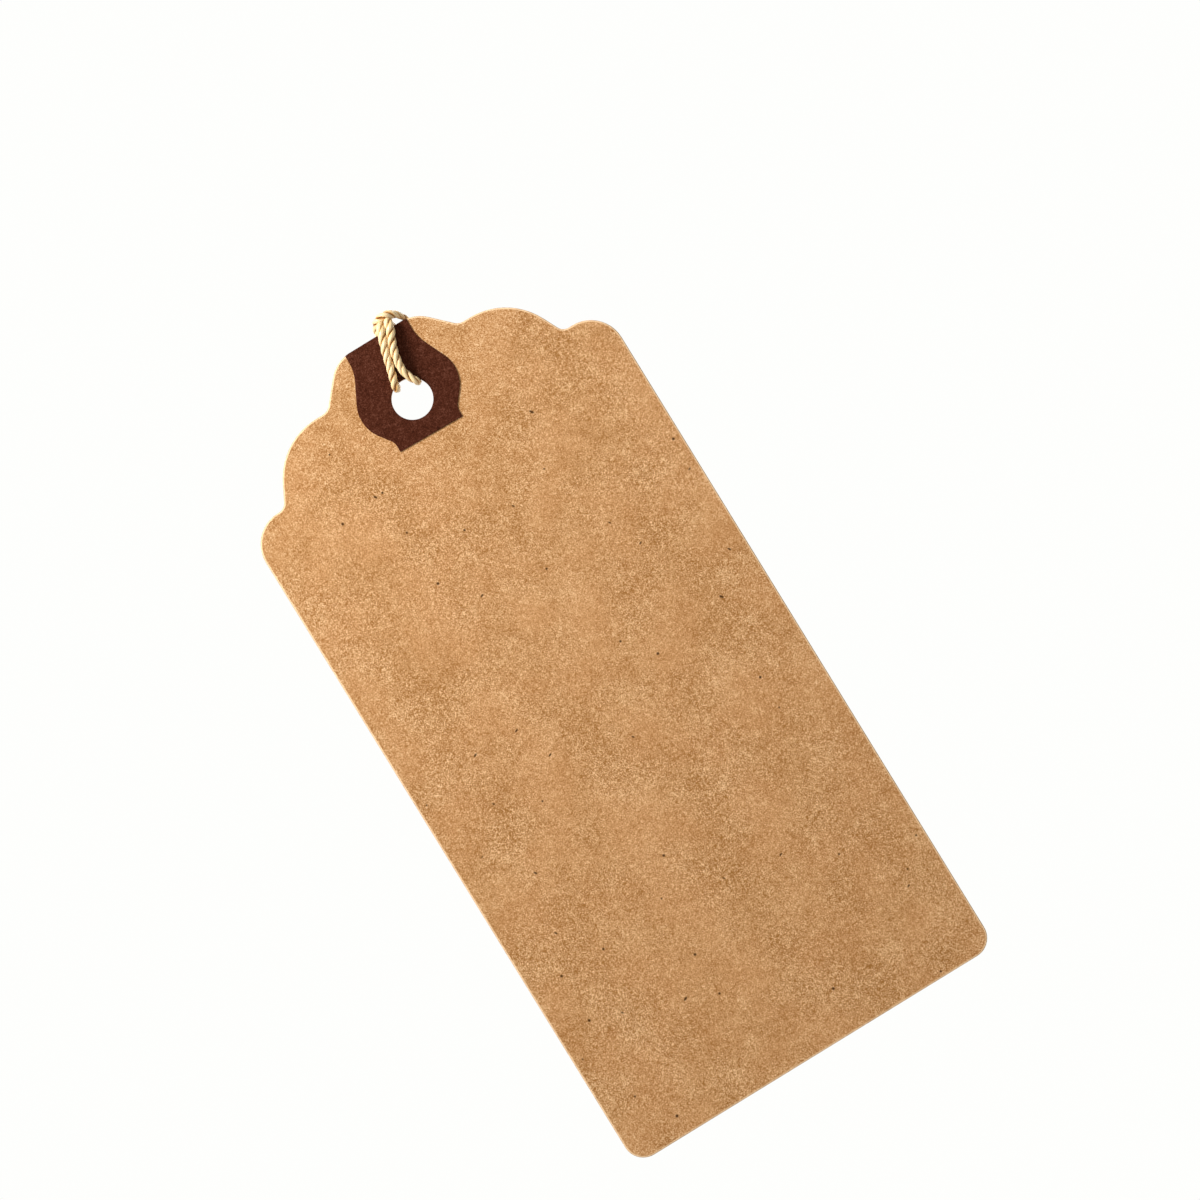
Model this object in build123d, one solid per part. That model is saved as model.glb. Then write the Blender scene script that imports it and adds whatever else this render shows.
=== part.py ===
from build123d import *
import math
import os

# Gift tag: a die-cut kraft card with a scalloped top, a dark patch glued round its hole
# on each face, and a twisted cord tied through the hole with a cow hitch.
# Millimetres. The origin is the middle of the hole, half way through the card.
# +X is to the right seen from the front, +Y points out of the back, +Z is up the card.

# Card
card_width = 60.0
card_length = 120.0
card_thickness = 0.6
card_rim_round = 0.2
bottom_corner_radius = 3.0
hole_diameter = 6.0
hole_below_top = 10.25

# Scalloped top: a crown in the middle, then a lobe and a shoulder on each side.
# Each width is taken across the card, between the corners before they are rounded.
crown_width = 13.1
crown_foot_width = 22.5
crown_height = 4.65
crown_radius = 5.2
crown_foot_radius = 1.8
lobe_width = 38.4
lobe_foot_width = 46.7
lobe_height = 8.6
lobe_radius = 9.9
lobe_foot_radius = 1.5
shoulder_radius = 5.1
# The cut is a little uneven: the left lobe and shoulder lie lower than the right ones,
# and the left lobe stands further out at its foot.
left_scallop_drop = 0.85
left_lobe_foot_spread = 0.4

# Patch: a straight neck from the card's top edge, a belly round the hole, a straight foot.
# Heights are above the middle of the hole and drops are below it.
patch_thickness = 0.12
patch_neck_width = 10.2
patch_neck_end_height = 7.4
patch_neck_radius = 6.5
patch_belly_width = 17.2
patch_belly_height = 0.3
patch_belly_radius = 5.2
patch_foot_width = 10.2
patch_foot_start_drop = 4.2
patch_foot_radius = 1.7
patch_bottom_drop = 5.7
# The front patch is glued on slightly askew: its lean in degrees, and how far it is to the left.
front_patch_lean = 1.6
front_patch_offset = 0.15

# Cord
cord_diameter = 1.2
cord_wrap_radius = 0.9
cord_arc_share = 0.45
cord_end_round_share = 0.95

# Knot that ties the two ends of the cord together
knot_diameter = 3.8
knot_face_diameter = 2.8
knot_height = 5.5

# How far a cutter runs past what it cuts, and how much of a run its two roundings may fill
overrun = 1.0
rounding_fill_share = 0.98

# Route of the hitch, from the left end behind the top edge: over the edge, down the front,
# through the hole, up the back, over both strands as an arch, and the same way back.
hitch_route = [
    (2.30, 1.68, 11.03),
    (1.38, -1.07, 11.03),
    (0.15, -1.07, 7.30),
    (-0.62, -1.07, 4.40),
    (-1.08, -1.07, 1.90),
    (-1.08, 1.07, 1.90),
    (-0.40, 1.10, 5.40),
    (0.78, 1.09, 10.90),
    (0.86, 0.90, 11.75),
    (1.50, 0.70, 12.34),
    (3.88, 0.45, 12.34),
    (4.76, 0.85, 11.40),
    (5.00, 1.10, 10.10),
    (3.80, 1.10, 6.20),
    (1.84, 1.07, 1.30),
    (1.42, -1.07, 1.65),
    (0.80, -1.07, 4.20),
    (1.43, -1.07, 7.40),
    (2.86, -1.07, 11.03),
    (3.60, 1.68, 11.03),
]
# Corners of that route where the cord goes tightly round the card's top edge or the hole's rim
hitch_wraps = (1, 4, 5, 14, 15, 18)

# Routes of the free cord. It hangs from the hitch behind the card, as two strands of one loop.
# The middle of each rounded top end lies on the axis that the stretch swings about.
root_left_route = [(2.30, 2.50, 11.03), (4.075, 2.50, 2.222)]
root_right_route = [(3.60, 2.50, 11.03), (5.375, 2.50, 2.222)]
tail_left_route = [
    (4.35, 2.50, 0.85),
    (4.35, 2.50, -8.00),
    (3.00, 2.55, -22.00),
    (1.90, 2.50, -38.00),
    (2.80, 2.45, -54.00),
    (4.35, 2.50, -66.00),
    (4.35, 2.50, -74.00),
]
tail_right_route = [
    (5.65, 2.50, 0.85),
    (5.65, 2.50, -8.50),
    (7.20, 2.45, -23.00),
    (8.30, 2.50, -39.50),
    (7.30, 2.55, -55.00),
    (5.65, 2.50, -66.50),
    (5.65, 2.50, -74.00),
]
knot_top = (5.00, 2.50, -74.00)
cut_end_left_route = [
    (4.35, 2.50, -79.50),
    (4.35, 2.50, -82.50),
    (3.90, 2.50, -86.00),
    (3.00, 2.45, -89.00),
]
cut_end_right_route = [
    (5.65, 2.50, -79.50),
    (5.65, 2.50, -82.30),
    (6.20, 2.50, -85.50),
    (7.20, 2.55, -88.00),
]

# Sizes that follow from those above
card_top = hole_below_top
card_bottom = hole_below_top - card_length
crown_ledge = card_top - crown_height
lobe_ledge = crown_ledge - lobe_height
card_face = card_thickness / 2
cord_radius = cord_diameter / 2


def turn_angle(before, corner, after):
    """How far a route turns at a corner, in radians."""
    along = Vector(*corner) - Vector(*before)
    onward = Vector(*after) - Vector(*corner)
    return math.radians(along.get_angle(onward))


def run_length(start, end):
    return (Vector(*end) - Vector(*start)).length


def fitted_radii(corners, radii):
    """The wanted radii of a closed outline, limited where two roundings would share a run."""
    count = len(corners)
    tangents = []
    for i in range(count):
        turn = turn_angle(corners[i - 1], corners[i], corners[(i + 1) % count])
        tangents.append(radii[i] * math.tan(turn / 2))
    fits = [1.0] * count
    for i in range(count):
        j = (i + 1) % count
        taken = tangents[i] + tangents[j]
        room = rounding_fill_share * run_length(corners[i], corners[j])
        if taken > room:
            fits[i] = min(fits[i], room / taken)
            fits[j] = min(fits[j], room / taken)
    return [radius * fit for radius, fit in zip(radii, fits)]


def two_sided_face(right_corners, left_corners, side_radii):
    """A face in the card's plane. Both sides run from the top down, with X counted outwards."""
    corners = right_corners + [(-x, z) for x, z in reversed(left_corners)]
    radii = side_radii + side_radii[::-1]
    outline = FilletPolyline(*corners, radius=fitted_radii(corners, radii), close=True)
    return make_face(Plane.XZ * outline)


def card_side_corners(scallop_drop, foot_spread):
    return [
        (crown_width / 2, card_top),
        (crown_foot_width / 2, crown_ledge - scallop_drop),
        (lobe_width / 2, crown_ledge - scallop_drop),
        (lobe_foot_width / 2 + foot_spread, lobe_ledge - scallop_drop),
        (card_width / 2, lobe_ledge - scallop_drop),
        (card_width / 2, card_bottom),
    ]


def card_face_outline():
    radii = [
        crown_radius,
        crown_foot_radius,
        lobe_radius,
        lobe_foot_radius,
        shoulder_radius,
        bottom_corner_radius,
    ]
    right = card_side_corners(0, 0)
    left = card_side_corners(left_scallop_drop, left_lobe_foot_spread)
    return two_sided_face(right, left, radii)


def patch_face_outline():
    corners = [
        (patch_neck_width / 2, card_top + overrun),
        (patch_neck_width / 2, patch_neck_end_height),
        (patch_belly_width / 2, patch_belly_height),
        (patch_foot_width / 2, -patch_foot_start_drop),
        (patch_foot_width / 2, -patch_bottom_drop),
    ]
    radii = [0, patch_neck_radius, patch_belly_radius, patch_foot_radius, 0]
    return two_sided_face(corners, corners, radii)


def hole_cutter():
    reach = card_thickness + patch_thickness + overrun
    return extrude(Plane.XZ * Circle(hole_diameter / 2), amount=reach, both=True)


def make_card():
    card = extrude(card_face_outline(), amount=card_face, both=True)
    faces = card.faces().sort_by(Axis.Y)
    rims = faces[0].outer_wire().edges() + faces[-1].outer_wire().edges()
    return fillet(rims, card_rim_round) - hole_cutter()


def make_patch(side, lean, offset):
    """A patch on the card's front (side -1) or back (side 1), trimmed flush with the card's top."""
    outline = Pos(-offset, 0, 0) * Rot(0, lean, 0) * patch_face_outline()
    outline = outline & card_face_outline()
    seat = Pos(0, side * card_face, 0)
    sheet = extrude(seat * outline, amount=patch_thickness, dir=(0, side, 0))
    return sheet - hole_cutter()


def cord_path(route, wraps=()):
    """Straight runs joined by arcs as large as the runs allow, or by tight wraps round the card."""
    radii = []
    for i in range(1, len(route) - 1):
        turn = turn_angle(route[i - 1], route[i], route[i + 1])
        run = min(run_length(route[i - 1], route[i]), run_length(route[i], route[i + 1]))
        widest = cord_arc_share * run / math.tan(turn / 2)
        radii.append(min(cord_wrap_radius, widest) if i in wraps else widest)
    if not radii:
        return Polyline(*route), radii
    return FilletPolyline(*route, radius=radii), radii


def make_cord(name, route, wraps=()):
    """A round tube along a route, with its bend radii and its volume printed."""
    path, radii = cord_path(route, wraps)
    start = Plane(origin=path @ 0, z_dir=path % 0)
    cord = sweep(start * Circle(cord_radius), path=path)
    filled = cord.volume / (math.pi * cord_radius**2 * path.length)
    print(name, "length", round(path.length, 2), "filled", round(filled, 4))
    print("  bend radii", [round(radius, 2) for radius in radii])
    return cord


def make_swinging_cord(name, route):
    """A tube whose first end is rounded about the route's first point, so that it turns there."""
    first = Vector(*route[0])
    back = (first - Vector(*route[1])).normalized() * cord_radius
    cord = make_cord(name, [tuple(first + back)] + route[1:])
    end = cord.edges().filter_by(GeomType.CIRCLE).sort_by_distance(first + back)[0]
    return fillet(end, cord_end_round_share * cord_radius)


def make_knot():
    """The plain outer form of the overhand knot: a barrel with a flat top and bottom."""
    x, y, z = knot_top
    face = knot_face_diameter / 2
    belly = (knot_diameter / 2, -knot_height / 2)
    side = ThreePointArc((face, 0), belly, (face, -knot_height))
    outline = [
        Line((0, 0), (face, 0)),
        side,
        Line((face, -knot_height), (0, -knot_height)),
        Line((0, -knot_height), (0, 0)),
    ]
    barrel = revolve(make_face(Plane.XZ * Curve(children=outline)), axis=Axis.Z)
    return Pos(x, y, z) * barrel


def make_cut_ends():
    left = make_cord("cut_end_left", cut_end_left_route)
    right = make_cord("cut_end_right", cut_end_right_route)
    return Compound(children=[left, right])


os.makedirs("parts", exist_ok=True)
nodes = {
    "card": make_card(),
    "front_patch": make_patch(-1, front_patch_lean, front_patch_offset),
    "back_patch": make_patch(1, 0, 0),
    "cord_hitch": make_cord("cord_hitch", hitch_route, hitch_wraps),
    "tail_root_left": make_swinging_cord("tail_root_left", root_left_route),
    "tail_root_right": make_swinging_cord("tail_root_right", root_right_route),
    "tail_left": make_swinging_cord("tail_left", tail_left_route),
    "tail_right": make_swinging_cord("tail_right", tail_right_route),
    "end_knot": make_knot(),
    "cut_ends": make_cut_ends(),
}
for name, shape in nodes.items():
    export_step(shape, "parts/" + name + ".step")
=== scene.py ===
import math

import bpy
import numpy as np
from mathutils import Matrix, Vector


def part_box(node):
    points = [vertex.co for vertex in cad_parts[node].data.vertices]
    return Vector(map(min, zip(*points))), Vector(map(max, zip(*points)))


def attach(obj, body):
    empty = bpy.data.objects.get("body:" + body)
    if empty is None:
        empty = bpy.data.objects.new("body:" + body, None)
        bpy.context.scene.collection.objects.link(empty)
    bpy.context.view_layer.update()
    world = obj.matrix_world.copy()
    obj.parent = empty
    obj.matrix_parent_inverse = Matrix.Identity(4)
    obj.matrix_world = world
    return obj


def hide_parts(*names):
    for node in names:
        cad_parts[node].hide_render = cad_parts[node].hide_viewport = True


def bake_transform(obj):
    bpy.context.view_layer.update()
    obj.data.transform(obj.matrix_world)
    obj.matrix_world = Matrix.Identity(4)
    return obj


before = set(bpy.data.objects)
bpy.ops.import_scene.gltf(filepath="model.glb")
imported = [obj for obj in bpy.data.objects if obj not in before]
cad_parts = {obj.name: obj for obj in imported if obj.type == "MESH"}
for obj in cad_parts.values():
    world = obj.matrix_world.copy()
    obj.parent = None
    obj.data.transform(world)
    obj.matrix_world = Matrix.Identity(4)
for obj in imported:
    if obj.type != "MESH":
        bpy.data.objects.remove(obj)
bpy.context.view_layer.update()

# Sizes and places below are in millimetres, in the part's own frame: +X to the right seen from
# the front, +Y out of the back of the card, +Z up the card, with the hole's middle at the origin.
MM = 0.001

# Camera: the card is seen face on, turned in the picture's plane
picture_width = 170.9
picture_centre = (7.77, -38.4)
picture_turn = 31.57
camera_lens = 100.0
camera_sensor = 36.0

# Light: a soft key from the upper left, a broad light on the back, and a nearly white surround
light_target = (0.0, 0.0, 0.0)
key_way = (-0.542, -0.485, 0.682)
key_distance = 360.0
key_size = 150.0
key_watts = 2.25
back_way = (0.45, 0.82, 0.30)
back_distance = 600.0
back_size = 500.0
back_watts = 3.2
surround_light = 0.40
surround_colour = (0.99, 0.993, 0.978)

# Floor: a plain pale sheet, faintly mottled, that looks white where the camera sees it
floor_below_card = 280.0
floor_size = 1800.0
floor_colour = (0.82, 0.82, 0.80)
floor_mottle_colour = (0.9, 0.9, 0.88)
floor_mottle_scale = 0.02
floor_mottle_share = 0.1
floor_roughness = 0.9
floor_camera_glow = 0.7

# Cord: three right-handed plies round a common line
cord_diameter = 1.2
cord_lay = 4.05
cord_phase = 0.4
ply_count = 3
ply_line_radius = 0.31
ply_depth_radius = 0.29
ply_width_radius = 0.335
ply_sides = 14
cord_step = 0.16
spline_order = 3
spline_resolution = 32
# How unevenly the plies are laid: turn in radians, share of a ply's size, and lengths of two waves
twist_unevenness = 0.35
ply_unevenness = 0.06
uneven_waves = (5.3, 8.9)
tip_spread_length = 2.4
tip_spread = 0.9
tip_thinning = 0.45
# Where the cord is drawn thin or swells: place, share of its usual thickness, reach along the cord
thickness_changes = [
    ((5.15, 1.05, 10.55), 0.76, 1.3),
    ((-1.16, 0.00, 2.32), 0.84, 0.9),
    ((1.94, 0.00, 1.68), 0.84, 0.9),
    ((1.48, -0.90, 10.70), 1.17, 2.2),
    ((2.78, -0.90, 10.70), 1.18, 2.2),
    ((0.10, -1.30, 7.00), 1.06, 3.0),
    ((1.30, -1.45, 7.00), 1.06, 3.0),
    ((2.00, -0.50, 12.10), 1.18, 1.8),
]
# Values kept on the cord's meshes. The layout gives each ply a band of its own, with a margin.
crest_layer = "crest"
yarn_layer = "Yarn"
layout_layer = "OFBake"
layout_margin = 0.02

# Colours are linear. Stops run from the darkest tone of a surface to its lightest. Scales are in
# cells per millimetre, and a weight says how far a pattern moves the tone, darker if it is negative.
noise_middle = 0.5
# A Mix node has sockets for each kind of value it can mix. These are the ones for colours.
mix_colours = (6, 7)
mix_colour_result = 2

# Kraft board. Layers of noise: scale, detail, roughness, weight.
kraft_tone = 0.485
kraft_stops = [
    (0.0, (0.316, 0.1316, 0.0336)),
    (0.5, (0.592, 0.318, 0.1345)),
    (1.0, (0.888, 0.597, 0.336)),
]
kraft_clouds = [(0.13, 3.0, 0.5, 0.42), (0.55, 3.0, 0.5, 0.4)]
kraft_grains = [(2.4, 1.0, 0.5, 0.16), (6.0, 2.0, 0.5, 1.8)]
# Fibres: hairs by scale and thinness, which show in patches, and strokes by scale across and
# along, at angles in degrees. Some of them lie on coordinates that are bent by a slow noise.
kraft_dark_hairs = (0.85, 0.02)
kraft_dark_hair_weight = -0.4
kraft_pale_hairs = (1.1, 0.02)
kraft_pale_hair_weight = 0.35
hair_patch_scale = 0.7
hair_patch_range = (0.5, 0.56)
kraft_stroke_angles = range(0, 180, 30)
kraft_dark_stroke_turn = 15
kraft_pale_strokes = (10.0, 2.0)
kraft_pale_stroke_weight = 0.36
kraft_dark_strokes = (9.0, 2.2)
kraft_dark_stroke_weight = -0.32
stroke_range = (0.56, 0.76)
fibre_bend_scale = 0.6
fibre_bend = 0.9
# Where the grain is stronger, and where the board is warmer
kraft_rough_scale = 0.07
kraft_rough_range = (0.3, 0.7)
kraft_rough_weight = 0.5
kraft_warm = (0.612, 0.2935, 0.1185)
kraft_warm_scale = 0.12
kraft_warm_range = (0.35, 0.65)
kraft_warm_share = 0.22
# Flecks: turn in degrees, scale across and along, chance, size in cells
kraft_fleck = (0.05, 0.017, 0.005)
kraft_fleck_share = 0.92
kraft_flecks = [
    (0, 0.28, 0.28, 0.95, 0.09),
    (35, 0.3, 0.14, 0.965, 0.075),
    (115, 0.34, 0.15, 0.97, 0.075),
]
fleck_core_share = 0.45
# How far the flecks move aside for each millimetre through the card, so that its faces differ
fleck_face_shift = 60.0
# Pale rim: partly the paler fibre of the cut edge, partly a painted highlight where the rounded edge
# would catch the light. It is a line where the face turns into the cut wall, worn by a layer of
# noise, and less of it on the wall. Ranges are of the turn from the face, 0, to the wall, 1.
kraft_rim_fibre_and_highlight = (1.0, 0.72, 0.44)
kraft_rim_reach = 0.38
kraft_line_range = (0.008, 0.022)
kraft_wall_range = (0.06, 0.26)
kraft_wall_share = 0.78
kraft_line_strength = 0.95
kraft_line_wear = (1.3, 2.0, 0.5, 0.5)
rim_samples = 8
kraft_roughness = 0.88
kraft_specular = 0.06
kraft_bump_strength = 0.3
kraft_bump_depth = 0.03

# Patch paper
patch_tone = 0.52
patch_stops = [
    (0.0, (0.018, 0.0034, 0.001)),
    (0.5, (0.069, 0.017, 0.0077)),
    (1.0, (0.17, 0.062, 0.039)),
]
patch_layers = [(0.5, 3.0, 0.5, 0.3), (5.5, 2.0, 0.6, 1.2)]
patch_curls = (1.1, 0.04)
patch_curl_weight = 0.14
patch_fibre_angles = (5, 40, 75, 110, 150)
patch_fibres = (9.0, 2.2)
patch_fibre_weight = 0.3
# Pale rim: partly the paler core of the cut paper, partly a painted highlight where the rounded edge
# would catch the light.
patch_rim_core_and_highlight = (0.15, 0.05, 0.027)
patch_rim_reach = 0.14
patch_rim_range = (0.02, 0.3)
patch_rim_core_and_highlight_share = 0.5
patch_roughness = 0.75
patch_specular = 0.03
patch_bump_strength = 0.4
patch_bump_depth = 0.03

# Cord finish, with painted shade: the colour is darker and browner in the grooves between the plies
# and lightest on their tops. A crest value is a point's distance from the cord's middle as a share
# of the cord's radius: low in the grooves between the plies, high on their tops.
cord_groove_shade_stops = [
    (0.0, (0.40, 0.155, 0.03)),
    (0.35, (0.67, 0.41, 0.152)),
    (0.7, (0.82, 0.57, 0.285)),
    (1.0, (0.86, 0.66, 0.375)),
]
crest_shade_range = (0.72, 1.02)
# Filaments: how many lie round a ply, and how many a millimetre along the cord crosses
filament_count = 9.0
filament_lean = 3.2
filament_weight = 0.15
# Streaks: cells per millimetre along the cord, and cells in one turn round a ply
streak_stretch = (1.6, 14.0, 1.0)
streak_weight = 0.5
cord_roughness = 0.38
cord_specular = 0.42
cord_bump_strength = 0.45
cord_bump_depth = 0.04

# Route of the whole cord, from the tip of one cut end to the tip of the other
cut_end_left_route = [
    (4.35, 2.50, -79.50),
    (4.35, 2.50, -82.50),
    (3.90, 2.50, -86.00),
    (3.00, 2.45, -89.00),
]
cut_end_right_route = [
    (7.20, 2.55, -88.00),
    (6.20, 2.50, -85.50),
    (5.65, 2.50, -82.30),
    (5.65, 2.50, -79.50),
]
# In the knot each strand goes down the middle, once round both strands, and down inside that turn
knot_left_route = [
    (5.52, 2.85, -78.40),
    (5.48, 2.95, -77.30),
    (5.68, 3.12, -76.45),
    (6.25, 3.20, -75.90),
    (6.62, 2.30, -76.05),
    (6.20, 1.25, -76.40),
    (5.00, 0.92, -76.70),
    (3.75, 1.25, -76.95),
    (3.38, 2.50, -77.20),
    (3.75, 3.75, -77.45),
    (5.00, 4.15, -77.70),
    (6.30, 3.80, -77.90),
    (6.65, 2.60, -78.15),
    (6.10, 1.75, -78.55),
    (5.20, 1.60, -78.80),
    (4.55, 1.95, -78.00),
    (4.50, 2.05, -76.60),
    (4.45, 2.15, -75.20),
]
tail_left_route = [
    (4.35, 2.50, -74.00),
    (4.35, 2.50, -66.00),
    (2.80, 2.45, -54.00),
    (1.90, 2.50, -38.00),
    (3.00, 2.55, -22.00),
    (4.35, 2.50, -8.00),
    (4.35, 2.50, 0.85),
    (4.075, 2.50, 2.222),
    (2.86, 2.52, 7.80),
    (1.87, 2.55, 10.00),
]
hitch_route = [
    (1.78, 2.50, 11.03),
    (1.76, 1.35, 11.03),
    (1.69, 0.30, 11.03),
    (1.53, -1.02, 11.16),
    (1.12, -1.06, 10.00),
    (0.15, -1.36, 7.30),
    (-0.60, -1.22, 4.40),
    (-1.02, -1.05, 3.20),
    (-1.18, -1.00, 2.32),
    (-1.14, 1.02, 2.32),
    (-0.85, 1.08, 3.50),
    (-0.30, 1.08, 5.80),
    (0.50, 1.12, 9.20),
    (0.70, 1.24, 10.40),
    (0.84, 0.86, 11.32),
    (1.42, -0.06, 12.04),
    (2.45, -0.84, 12.16),
    (3.50, -0.64, 11.98),
    (4.36, 0.18, 11.44),
    (5.05, 0.90, 10.72),
    (5.30, 1.12, 9.85),
    (4.55, 1.08, 7.90),
    (3.50, 1.08, 5.20),
    (2.35, 1.06, 2.70),
    (1.96, 1.00, 1.68),
    (1.93, -1.00, 1.68),
    (1.42, -1.08, 2.55),
    (0.84, -1.30, 4.20),
    (1.12, -1.56, 6.20),
    (1.60, -1.48, 7.90),
    (2.55, -1.10, 10.10),
    (2.77, -1.02, 11.16),
    (2.80, 0.30, 11.05),
    (2.87, 1.35, 11.03),
    (2.90, 2.50, 11.03),
]
tail_right_route = [
    (3.00, 2.55, 10.00),
    (4.10, 2.52, 7.80),
    (5.375, 2.50, 2.222),
    (5.65, 2.50, 0.85),
    (5.65, 2.50, -8.50),
    (7.20, 2.45, -23.00),
    (8.30, 2.50, -39.50),
    (7.30, 2.55, -55.00),
    (5.65, 2.50, -66.50),
    (5.65, 2.50, -74.00),
]
knot_right_route = [
    (5.52, 2.10, -75.20),
    (5.50, 2.00, -76.40),
    (5.70, 1.80, -77.40),
    (6.40, 1.95, -77.35),
    (6.75, 2.75, -77.05),
    (6.40, 3.95, -76.85),
    (5.00, 4.18, -76.60),
    (3.75, 3.75, -76.35),
    (3.38, 2.50, -76.10),
    (3.75, 1.25, -75.85),
    (5.00, 0.92, -75.60),
    (6.20, 1.25, -75.30),
    (6.62, 2.40, -75.00),
    (6.05, 3.45, -74.75),
    (5.05, 3.65, -74.80),
    (4.55, 3.15, -75.60),
    (4.48, 2.95, -76.80),
    (4.45, 2.85, -78.30),
]
cord_route = (
    cut_end_right_route
    + knot_left_route
    + tail_left_route
    + hitch_route
    + tail_right_route
    + knot_right_route
    + cut_end_left_route
)

# Places where the cord is cut into pieces, so that each piece follows one body or one joint
cord_cuts = {
    "knot_bottom_right": (5.65, 2.50, -79.50),
    "knot_top_left": (4.35, 2.50, -74.20),
    "root_left": (3.30, 2.50, 6.00),
    "edge_left": (1.73, 0.80, 11.03),
    "edge_right": (2.84, 0.80, 11.03),
    "root_right": (4.60, 2.50, 6.00),
    "knot_top_right": (5.65, 2.50, -74.20),
    "knot_bottom_left": (4.35, 2.50, -79.50),
}


def metres(place):
    return Vector(place) * MM


# Camera


def make_camera():
    data = bpy.data.cameras.new("camera")
    data.lens = camera_lens
    data.sensor_width = camera_sensor
    camera = bpy.data.objects.new("camera", data)
    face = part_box("card")[0].y
    distance = picture_width * MM * camera_lens / camera_sensor
    camera.location = (picture_centre[0] * MM, face - distance, picture_centre[1] * MM)
    camera.rotation_euler = (math.pi / 2, math.radians(picture_turn), 0)
    bpy.context.scene.collection.objects.link(camera)
    bpy.context.scene.camera = camera


# Node helpers


def make_node(tree, kind, inputs, **settings):
    node = tree.nodes.new("ShaderNode" + kind)
    for name, value in settings.items():
        setattr(node, name, value)
    for key, value in inputs.items():
        if isinstance(value, bpy.types.NodeSocket):
            tree.links.new(value, node.inputs[key])
        else:
            node.inputs[key].default_value = value
    return node


def new_material(name):
    material = bpy.data.materials.new(name)
    material.use_nodes = True
    tree = material.node_tree
    tree.nodes.clear()
    shader = tree.nodes.new("ShaderNodeBsdfPrincipled")
    output = tree.nodes.new("ShaderNodeOutputMaterial")
    tree.links.new(shader.outputs["BSDF"], output.inputs["Surface"])
    return material, tree, shader


def set_finish(tree, shader, colour, roughness, specular):
    tree.links.new(colour, shader.inputs["Base Color"])
    shader.inputs["Roughness"].default_value = roughness
    shader.inputs["Specular IOR Level"].default_value = specular


def calculated(tree, operation, first, second=0.0):
    return make_node(tree, "Math", {0: first, 1: second}, operation=operation).outputs[0]


def scaled(tree, vector, factor):
    inputs = {0: vector, "Scale": factor}
    return make_node(tree, "VectorMath", inputs, operation="SCALE").outputs["Vector"]


def moved(tree, vector, shift):
    return make_node(tree, "VectorMath", {0: vector, 1: shift}, operation="ADD").outputs["Vector"]


def in_cells(tree, place, rotation, scale):
    """A place turned, and counted in cells of a pattern."""
    sizes = tuple(1 / cells for cells in scale)
    inputs = {"Vector": place, "Rotation": rotation, "Scale": sizes}
    return make_node(tree, "Mapping", inputs, vector_type="TEXTURE").outputs["Vector"]


def noise(tree, place, scale, detail=2.0, roughness=0.5):
    inputs = {"Vector": place, "Scale": scale, "Detail": detail, "Roughness": roughness}
    return make_node(tree, "TexNoise", inputs).outputs["Fac"]


def noise_layers(tree, place, rows):
    """Patterns with their weights, from rows of scale, detail, roughness and weight."""
    return [(noise(tree, place, *shape), weight) for *shape, weight in rows]


def weighted_sum(tree, start, parts):
    """start plus each pattern's distance from its middle value, times its weight."""
    total = start
    for pattern, weight in parts:
        swing = calculated(tree, "SUBTRACT", pattern, noise_middle)
        share = calculated(tree, "MULTIPLY", swing, weight)
        total = calculated(tree, "ADD", share, total)
    return total


def ramp(tree, factor, stops):
    node = make_node(tree, "ValToRGB", {"Fac": factor})
    elements = node.color_ramp.elements
    while len(elements) < len(stops):
        elements.new(0.5)
    for element, (position, colour) in zip(elements, stops):
        element.position = position
        element.color = (*colour, 1.0)
    return node.outputs["Color"]


def smooth_range(tree, value, low, high):
    """0 below low, 1 above high, and a smooth step between them."""
    inputs = {"Value": value, "From Min": low, "From Max": high}
    return make_node(tree, "MapRange", inputs, interpolation_type="SMOOTHSTEP").outputs["Result"]


def mixed_colour(tree, factor, first, second):
    node = make_node(tree, "Mix", {"Factor": factor}, data_type="RGBA")
    for index, colour in zip(mix_colours, (first, second)):
        if isinstance(colour, bpy.types.NodeSocket):
            tree.links.new(colour, node.inputs[index])
        else:
            node.inputs[index].default_value = (*colour, 1.0)
    return node.outputs[mix_colour_result]


def place_in_millimetres(tree):
    return scaled(tree, tree.nodes.new("ShaderNodeTexCoord").outputs["Object"], 1 / MM)


def fibres(tree, place, angle, across, along):
    """Short streaks that lie at an angle in the plane of the card."""
    turned = in_cells(tree, place, (0, math.radians(angle), 0), (across, 1.0, along))
    return noise(tree, turned, scale=1.0, detail=1.0)


def strokes(tree, place, angle, across, along):
    """Scattered single fibres at an angle, 1 on a fibre and 0 beside it."""
    return smooth_range(tree, fibres(tree, place, angle, across, along), *stroke_range)


def curls(tree, place, scale, thinness):
    """Thin curly lines, 1 on the line and 0 away from it."""
    level = calculated(tree, "SUBTRACT", noise(tree, place, scale, detail=1.0), noise_middle)
    away = calculated(tree, "ABSOLUTE", level)
    return calculated(tree, "SUBTRACT", 1.0, smooth_range(tree, away, 0.0, thinness))


def hairs(tree, place, scale, thinness):
    """Short stretches of thin curly lines, 1 on a hair and 0 beside it."""
    shown = smooth_range(tree, noise(tree, place, hair_patch_scale, detail=1.0), *hair_patch_range)
    return calculated(tree, "MULTIPLY", curls(tree, place, scale, thinness), shown)


def place_on_face(tree, place):
    """Flat coordinates on the card, shifted with depth so that the two faces differ."""
    axes = make_node(tree, "SeparateXYZ", {"Vector": place}).outputs
    far = calculated(tree, "MULTIPLY", axes["Y"], fleck_face_shift)
    flat = make_node(tree, "CombineXYZ", {"X": axes["X"], "Y": axes["Z"]}).outputs["Vector"]
    aside = make_node(tree, "CombineXYZ", {"X": far, "Y": far}).outputs["Vector"]
    return moved(tree, flat, aside)


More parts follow.
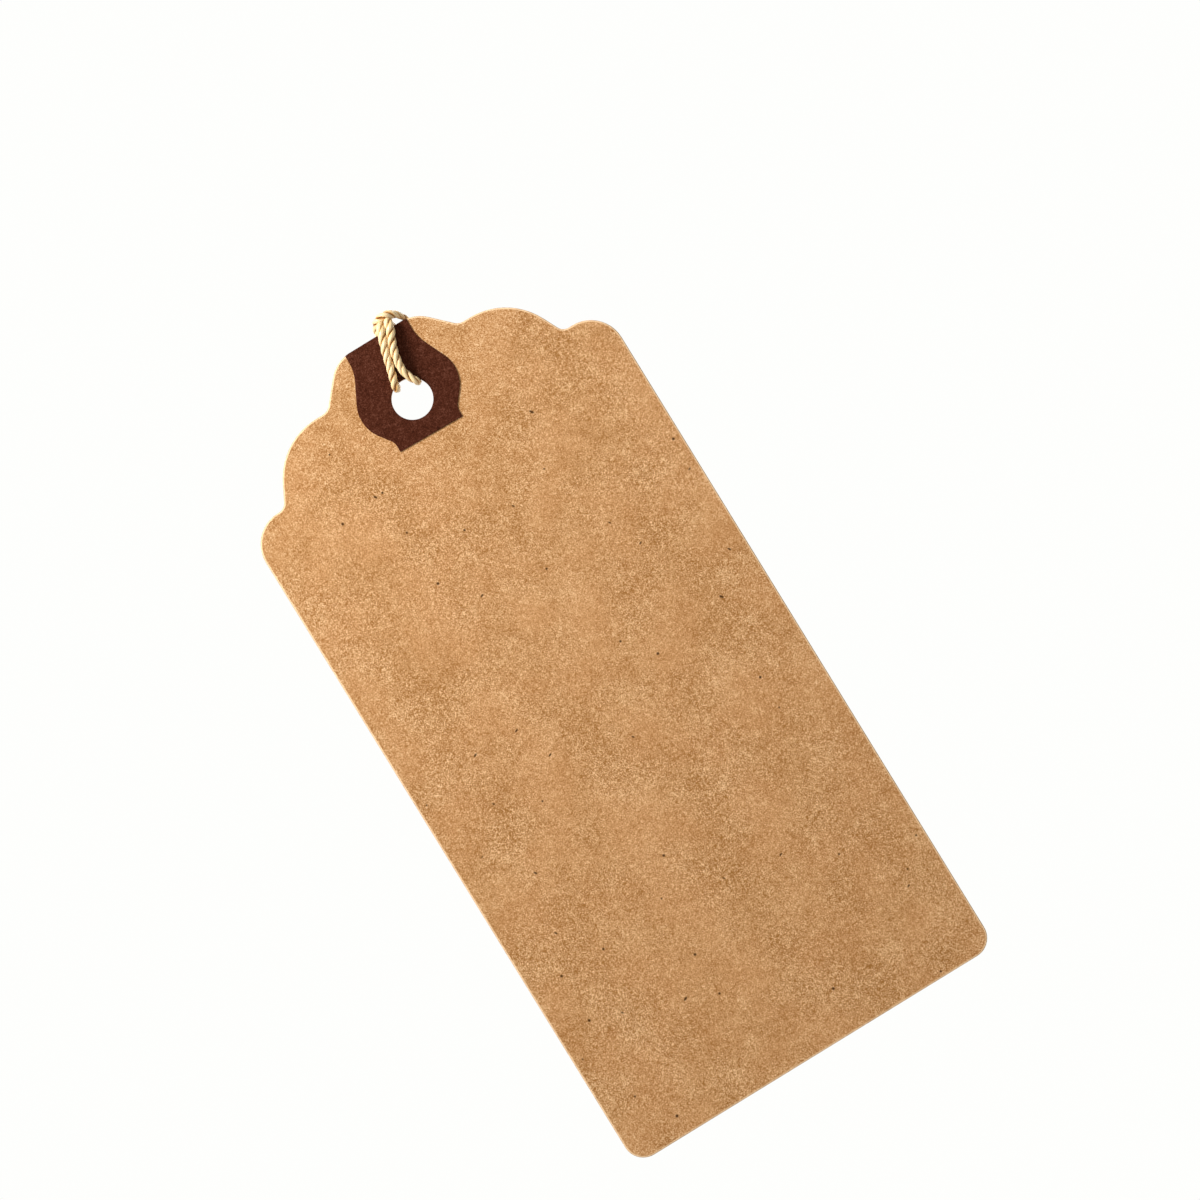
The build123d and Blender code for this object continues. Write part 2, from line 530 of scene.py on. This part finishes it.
def flecks(tree, place, angle, across, along, chance, size):
    """1 on scattered flecks of uneven size, 0 elsewhere. Only cells past the chance have one."""
    spread = place_on_face(tree, place)
    turned = in_cells(tree, spread, (0, 0, math.radians(angle)), (across, along, 1.0))
    inputs = {"Vector": turned, "Scale": 1.0}
    cells = make_node(tree, "TexVoronoi", inputs, voronoi_dimensions="2D").outputs
    draw = make_node(tree, "SeparateColor", {"Color": cells["Color"]}).outputs
    chosen = calculated(tree, "GREATER_THAN", draw["Red"], chance)
    smaller = calculated(tree, "ADD", draw["Green"], 1.0)
    away = calculated(tree, "MULTIPLY", cells["Distance"], smaller)
    outside = smooth_range(tree, away, size * fleck_core_share, size)
    return calculated(tree, "MULTIPLY", chosen, calculated(tree, "SUBTRACT", 1.0, outside))


def rounded_normal(tree, reach):
    """The surface's direction with the sharp rims rounded off over a short reach."""
    return make_node(tree, "Bevel", {"Radius": reach * MM}, samples=rim_samples).outputs["Normal"]


def rim(tree, normal):
    """0 on the flat of the sheet, rising to 1 where the face turns into the cut edge."""
    outward = make_node(tree, "SeparateXYZ", {"Vector": normal}).outputs["Y"]
    return calculated(tree, "SUBTRACT", 1.0, calculated(tree, "ABSOLUTE", outward))


def add_bump(tree, shader, height, strength, depth, normal=None):
    inputs = {"Height": height, "Strength": strength, "Distance": depth * MM}
    if normal:
        inputs["Normal"] = normal
    bump = make_node(tree, "Bump", inputs)
    tree.links.new(bump.outputs["Normal"], shader.inputs["Normal"])


# Kraft board


def kraft_grain(tree, place):
    """Fine grain, hairs and strokes, stronger in some parts of the board than in others."""
    inputs = {"Vector": place, "Scale": fibre_bend_scale}
    drift = make_node(tree, "TexNoise", inputs).outputs["Color"]
    bent = moved(tree, place, scaled(tree, drift, fibre_bend))
    parts = noise_layers(tree, place, kraft_grains)
    parts.append((hairs(tree, bent, *kraft_dark_hairs), kraft_dark_hair_weight))
    parts.append((hairs(tree, place, *kraft_pale_hairs), kraft_pale_hair_weight))
    for angle in kraft_stroke_angles:
        pale = strokes(tree, bent, angle, *kraft_pale_strokes)
        dark = strokes(tree, place, angle + kraft_dark_stroke_turn, *kraft_dark_strokes)
        parts.append((pale, kraft_pale_stroke_weight))
        parts.append((dark, kraft_dark_stroke_weight))
    rough = smooth_range(tree, noise(tree, place, kraft_rough_scale), *kraft_rough_range)
    strength = weighted_sum(tree, 1.0, [(rough, kraft_rough_weight)])
    return calculated(tree, "MULTIPLY", weighted_sum(tree, 0.0, parts), strength)


def kraft_rim_fibre_and_highlight_share(tree, place):
    """How far the colour turns to the rim's: a worn line along the rim, partly pale cut fibre and
    partly painted highlight, less on the cut wall.
    """
    edge = rim(tree, rounded_normal(tree, kraft_rim_reach))
    on_wall = smooth_range(tree, edge, *kraft_wall_range)
    wall = calculated(tree, "MULTIPLY", on_wall, kraft_wall_share)
    worn = weighted_sum(tree, kraft_line_strength, noise_layers(tree, place, [kraft_line_wear]))
    line = calculated(tree, "MULTIPLY", smooth_range(tree, edge, *kraft_line_range), worn)
    return calculated(tree, "SUBTRACT", line, wall)


def kraft_material():
    material, tree, shader = new_material("kraft_board")
    place = place_in_millimetres(tree)
    clouds = weighted_sum(tree, kraft_tone, noise_layers(tree, place, kraft_clouds))
    tone = calculated(tree, "ADD", clouds, kraft_grain(tree, place))
    colour = ramp(tree, tone, kraft_stops)
    warmth = smooth_range(tree, noise(tree, place, kraft_warm_scale, detail=3.0), *kraft_warm_range)
    warm_share = calculated(tree, "MULTIPLY", warmth, kraft_warm_share)
    colour = mixed_colour(tree, warm_share, colour, kraft_warm)
    for settings in kraft_flecks:
        mask = calculated(tree, "MULTIPLY", flecks(tree, place, *settings), kraft_fleck_share)
        colour = mixed_colour(tree, mask, colour, kraft_fleck)
    # Pale rim line: partly the paler fibre of the cut edge, partly a painted highlight.
    colour = mixed_colour(tree, kraft_rim_fibre_and_highlight_share(tree, place), colour, kraft_rim_fibre_and_highlight)
    set_finish(tree, shader, colour, kraft_roughness, kraft_specular)
    add_bump(tree, shader, tone, kraft_bump_strength, kraft_bump_depth)
    return material


# Patch paper


def patch_material():
    material, tree, shader = new_material("dyed_patch_paper")
    place = place_in_millimetres(tree)
    parts = noise_layers(tree, place, patch_layers)
    parts.append((curls(tree, place, *patch_curls), patch_curl_weight))
    for angle in patch_fibre_angles:
        parts.append((fibres(tree, place, angle, *patch_fibres), patch_fibre_weight))
    tone = weighted_sum(tree, patch_tone, parts)
    colour = ramp(tree, tone, patch_stops)
    # Pale rim line: partly the paler core of the cut paper, partly a painted highlight.
    rounded = rounded_normal(tree, patch_rim_reach)
    edge = smooth_range(tree, rim(tree, rounded), *patch_rim_range)
    rim_share = calculated(tree, "MULTIPLY", edge, patch_rim_core_and_highlight_share)
    colour = mixed_colour(tree, rim_share, colour, patch_rim_core_and_highlight)
    set_finish(tree, shader, colour, patch_roughness, patch_specular)
    add_bump(tree, shader, tone, patch_bump_strength, patch_bump_depth, rounded)
    return material


# Cord finish, with painted shade in the grooves between plies


def filaments(tree, yarn):
    """Fine threads that run round each ply at a lean, from 0 between two to 1 on one."""
    axes = make_node(tree, "SeparateXYZ", {"Vector": yarn}).outputs
    lean = calculated(tree, "MULTIPLY", axes["X"], filament_lean)
    turns = calculated(tree, "ADD", calculated(tree, "MULTIPLY", axes["Y"], filament_count), lean)
    wave = calculated(tree, "SINE", calculated(tree, "MULTIPLY", turns, math.tau))
    return calculated(tree, "ADD", calculated(tree, "MULTIPLY", wave, 0.5), 0.5)


def cord_material():
    material, tree, shader = new_material("twisted_satin_cord")
    crest = make_node(tree, "Attribute", {}, attribute_name=crest_layer).outputs["Fac"]
    yarn = make_node(tree, "UVMap", {}, uv_map=yarn_layer).outputs["UV"]
    filament = filaments(tree, yarn)
    inputs = {"Vector": yarn, "Scale": streak_stretch}
    stretched = make_node(tree, "Mapping", inputs).outputs["Vector"]
    streaks = noise(tree, stretched, scale=1.0)
    # Painted shade: the colour darkens towards the grooves between plies and is lightest on the ply
    # tops.
    depth = smooth_range(tree, crest, *crest_shade_range)
    tone = weighted_sum(tree, depth, [(streaks, streak_weight), (filament, filament_weight)])
    set_finish(tree, shader, ramp(tree, tone, cord_groove_shade_stops), cord_roughness, cord_specular)
    height = calculated(tree, "ADD", filament, streaks)
    add_bump(tree, shader, height, cord_bump_strength, cord_bump_depth)
    return material


# Cord's line


def spline_line(route):
    """Points along the smooth curve that has the route's points as its control points."""
    curve = bpy.data.curves.new("cord_line", "CURVE")
    curve.dimensions = "3D"
    curve.resolution_u = spline_resolution
    spline = curve.splines.new("NURBS")
    spline.points.add(len(route) - 1)
    for point, place in zip(spline.points, route):
        point.co = (*metres(place), 1.0)
    spline.order_u = spline_order
    spline.use_endpoint_u = True
    holder = bpy.data.objects.new("cord_line", curve)
    mesh = bpy.data.meshes.new_from_object(holder)
    points = np.array([vertex.co for vertex in mesh.vertices], float)
    bpy.data.objects.remove(holder)
    bpy.data.meshes.remove(mesh)
    return points


def evenly_spaced(points, step):
    """The same line with points a step apart, and each one's distance along it."""
    runs = np.linalg.norm(np.diff(points, axis=0), axis=1)
    along = np.concatenate([[0.0], np.cumsum(runs)])
    count = int(along[-1] / step) + 1
    distance = np.linspace(0.0, along[-1], count)
    return np.stack([np.interp(distance, along, points[:, i]) for i in range(3)], 1), distance


def unit(vectors):
    return vectors / np.linalg.norm(vectors, axis=-1, keepdims=True)


def carried_frames(points):
    """Two directions across a line, carried along it without twisting about it."""
    tangents = unit(np.gradient(points, axis=0))
    sides = np.zeros_like(points)
    side = np.cross(tangents[0], (0.0, 1.0, 0.0))
    for i, tangent in enumerate(tangents):
        side = side - tangent * (side @ tangent)
        side = side / np.linalg.norm(side)
        sides[i] = side
    return sides, np.cross(tangents, sides)


class Cord:
    """The whole cord's line, from which pieces are cut."""

    def __init__(self, route):
        self.points, self.distance = evenly_spaced(spline_line(route), cord_step * MM)
        self.sides, self.others = carried_frames(self.points)
        self.share = self.thickness_share()

    def nearest(self, place):
        return int(np.argmin(np.linalg.norm(self.points - np.array(metres(place)), axis=1)))

    def thickness_share(self):
        """How thick the cord is along its line, as a share of its usual thickness."""
        share = np.ones_like(self.distance)
        for place, share_there, reach in thickness_changes:
            away = self.distance - self.distance[self.nearest(place)]
            share -= (1 - share_there) * np.exp(-((away / (reach * MM)) ** 2))
        return share

    def ply(self, index):
        """One ply's middle line, the way out from the cord's middle, and how thick it is."""
        waves = [
            np.sin(math.tau * self.distance / (wave * MM) + index * wave) for wave in uneven_waves
        ]
        turn = math.tau * (self.distance / (cord_lay * MM) + index / ply_count) + cord_phase
        turn = turn + twist_unevenness * waves[0] * waves[1]
        outward = np.cos(turn)[:, None] * self.sides + np.sin(turn)[:, None] * self.others
        to_tip = np.minimum(self.distance, self.distance[-1] - self.distance)
        open_share = np.clip(1 - to_tip / (tip_spread_length * MM), 0, 1) ** 2
        radius = ply_line_radius * MM * (1 + tip_spread * open_share) * self.share
        line = self.points + outward * radius[:, None]
        thickness = (1 - tip_thinning * open_share) * self.share * (1 + ply_unevenness * waves[1])
        return line, outward, thickness


def ply_rings(cord, index, first, last):
    """Rings of points round one ply between two places on the cord, their normals and crests."""
    line, outward, thickness = cord.ply(index)
    tangents = unit(np.gradient(line, axis=0))
    out = unit(outward - tangents * np.sum(outward * tangents, axis=1, keepdims=True))
    across = np.cross(tangents, out)
    angles = np.arange(ply_sides) / ply_sides * math.tau
    depth = np.cos(angles)[None, :, None] * out[:, None, :]
    width = np.sin(angles)[None, :, None] * across[:, None, :]
    offsets = (depth * ply_depth_radius + width * ply_width_radius) * MM
    rings = line[:, None, :] + offsets * thickness[:, None, None]
    normals = unit(depth / ply_depth_radius + width / ply_width_radius)
    reach = cord_diameter / 2 * MM * thickness[:, None]
    crest = np.linalg.norm(rings - cord.points[:, None, :], axis=2) / reach
    stretch = slice(first, last + 1)
    return rings[stretch], normals[stretch], crest[stretch]


# Cord's pieces


class PlyTubes:
    """Tubes of plies, gathered as points, faces, and values at each face's corners."""

    def __init__(self, tube_count):
        self.tube_count = tube_count
        self.tubes_added = 0
        self.points = []
        self.crests = []
        self.faces = []
        self.facing = []
        self.yarn = []
        self.layout = []

    def layout_height(self, around):
        """Height in the layout of a place round the next tube, in that tube's own band."""
        inside = layout_margin + (1 - 2 * layout_margin) * around
        return (self.tubes_added + inside) / self.tube_count

    def add(self, rings, normals, crest, along, index):
        """One ply's tube, from its rings and the distance along the cord at each of them."""
        start = len(self.points)
        self.points.extend(rings.reshape(-1, 3))
        self.crests.extend(crest.reshape(-1))
        self.add_wall(start, normals, along, index)
        self.add_caps(start, rings.mean(axis=1), along, index)
        self.tubes_added += 1

    def add_wall(self, start, normals, along, index):
        """Faces between neighbouring rings."""
        last = len(along) - 1
        for i in range(last):
            for j in range(ply_sides):
                corners = ((i, j), (i, j + 1), (i + 1, j + 1), (i + 1, j))
                self.faces.append([start + a * ply_sides + b % ply_sides for a, b in corners])
                for a, b in corners:
                    around = b / ply_sides
                    self.facing.append(normals[a, b % ply_sides])
                    self.yarn.append((along[a], around + index))
                    self.layout.append((a / last, self.layout_height(around)))

    def add_caps(self, start, middles, along, index):
        """Flat ends, laid out half way up the tube's band."""
        last = len(along) - 1
        for ring, inner, order in ((0, 1, -1), (last, last - 1, 1)):
            cap = [start + ring * ply_sides + j for j in range(ply_sides)][::order]
            self.faces.append(cap)
            self.facing.extend([unit(middles[ring] - middles[inner])] * ply_sides)
            self.yarn.extend([(along[ring], index)] * ply_sides)
            self.layout.extend([(ring / last, self.layout_height(0.5))] * ply_sides)

    def to_mesh(self, name):
        mesh = bpy.data.meshes.new(name)
        mesh.from_pydata([tuple(point) for point in self.points], [], self.faces)
        crest = mesh.attributes.new(crest_layer, "FLOAT", "POINT")
        crest.data.foreach_set("value", np.array(self.crests, np.float32))
        for layer, places in ((layout_layer, self.layout), (yarn_layer, self.yarn)):
            corners = mesh.uv_layers.new(name=layer).uv
            corners.foreach_set("vector", np.array(places, np.float32).ravel())
        mesh.shade_smooth()
        mesh.normals_split_custom_set([tuple(normal) for normal in self.facing])
        return mesh


def cord_piece(name, cord, stretches, material):
    """A piece of the plies over one or more stretches of the cord."""
    tubes = PlyTubes(len(stretches) * ply_count)
    for first, last in stretches:
        along = cord.distance[first:last + 1] / MM
        for index in range(ply_count):
            tubes.add(*ply_rings(cord, index, first, last), along, index)
    mesh = tubes.to_mesh(name)
    mesh.materials.append(material)
    piece = bpy.data.objects.new(name, mesh)
    bpy.context.scene.collection.objects.link(piece)
    return piece


def add_strand(side, turn, tail):
    """Bake one strand's turn behind the top edge and its tail into place, and hide the CAD parts
    they replace.
    """
    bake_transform(turn)
    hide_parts("tail_root_" + side)
    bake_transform(tail)
    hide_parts("tail_" + side)


def make_cord():
    cord = Cord(cord_route)
    material = cord_material()
    cuts = {name: cord.nearest(place) for name, place in cord_cuts.items()}
    cuts["first_tip"] = 0
    cuts["last_tip"] = len(cord.points) - 1

    def cut_piece(name, *stretches):
        bounds = [(cuts[first], cuts[last]) for first, last in stretches]
        return cord_piece(name, cord, bounds, material)

    hitch = cut_piece("cow_hitch", ("edge_left", "edge_right"))
    turn_left = cut_piece("cord_turn_left", ("root_left", "edge_left"))
    turn_right = cut_piece("cord_turn_right", ("edge_right", "root_right"))
    tail_left = cut_piece("cord_tail_left", ("knot_top_left", "root_left"))
    tail_right = cut_piece("cord_tail_right", ("root_right", "knot_top_right"))
    knot_strands = (("knot_bottom_right", "knot_top_left"), ("knot_top_right", "knot_bottom_left"))
    knot = cut_piece("overhand_knot", *knot_strands)
    end_strands = (("first_tip", "knot_bottom_right"), ("knot_bottom_left", "last_tip"))
    ends = cut_piece("frayed_ends", *end_strands)

    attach(hitch, "tag")
    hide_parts("cord_hitch")
    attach(knot, "cord_loop")
    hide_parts("end_knot")
    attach(ends, "cord_loop")
    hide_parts("cut_ends")
    add_strand("left", turn_left, tail_left)
    add_strand("right", turn_right, tail_right)


# Card and patches


def finish_card():
    kraft = kraft_material()
    patch = patch_material()
    for name, material in (("card", kraft), ("front_patch", patch), ("back_patch", patch)):
        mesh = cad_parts[name].data
        mesh.materials.clear()
        mesh.materials.append(material)


# Light and floor


def seen_directly(tree):
    """1 for rays that show the background itself, straight or in a reflection, and 0 for others."""
    path = tree.nodes.new("ShaderNodeLightPath").outputs
    total = calculated(tree, "ADD", path["Is Camera Ray"], path["Is Glossy Ray"])
    total = calculated(tree, "ADD", total, path["Is Transmission Ray"])
    return calculated(tree, "MINIMUM", total, 1.0)


def make_surround():
    world = bpy.data.worlds.new("surround")
    bpy.context.scene.world = world
    world.use_nodes = True
    tree = world.node_tree
    tree.nodes.clear()
    gain = calculated(tree, "MULTIPLY", seen_directly(tree), 1.0 - surround_light)
    strength = calculated(tree, "ADD", gain, surround_light)
    inputs = {"Color": (*surround_colour, 1.0), "Strength": strength}
    background = make_node(tree, "Background", inputs)
    output = tree.nodes.new("ShaderNodeOutputWorld")
    tree.links.new(background.outputs["Background"], output.inputs["Surface"])


def make_lamp(name, way, distance, size, watts):
    data = bpy.data.lights.new(name, "AREA")
    data.shape = "DISK"
    data.size = size * MM
    data.energy = watts
    lamp = bpy.data.objects.new(name, data)
    out = Vector(way).normalized()
    lamp.location = metres(light_target) + out * distance * MM
    lamp.rotation_euler = out.to_track_quat("Z", "Y").to_euler()
    lamp.visible_camera = False
    bpy.context.scene.collection.objects.link(lamp)


def floor_material():
    material, tree, shader = new_material("pale_floor")
    mottle = noise(tree, place_in_millimetres(tree), floor_mottle_scale)
    share = calculated(tree, "MULTIPLY", mottle, floor_mottle_share)
    colour = mixed_colour(tree, share, floor_colour, floor_mottle_colour)
    tree.links.new(colour, shader.inputs["Base Color"])
    shader.inputs["Roughness"].default_value = floor_roughness
    shader.inputs["Emission Color"].default_value = (1, 1, 1, 1)
    glow = calculated(tree, "MULTIPLY", seen_directly(tree), floor_camera_glow)
    tree.links.new(glow, shader.inputs["Emission Strength"])
    return material


def make_floor():
    half = floor_size * MM / 2
    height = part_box("card")[0].z - floor_below_card * MM
    outline = ((-half, -half), (half, -half), (half, half), (-half, half))
    corners = [(x, y, height) for x, y in outline]
    mesh = bpy.data.meshes.new("floor")
    mesh.from_pydata(corners, [], [(0, 1, 2, 3)])
    mesh.materials.append(floor_material())
    floor = bpy.data.objects.new("floor", mesh)
    bpy.context.scene.collection.objects.link(floor)


bpy.context.scene.view_settings.view_transform = "Standard"
make_camera()
make_cord()
finish_card()
make_surround()
make_lamp("key", key_way, key_distance, key_size, key_watts)
make_lamp("back", back_way, back_distance, back_size, back_watts)
make_floor()
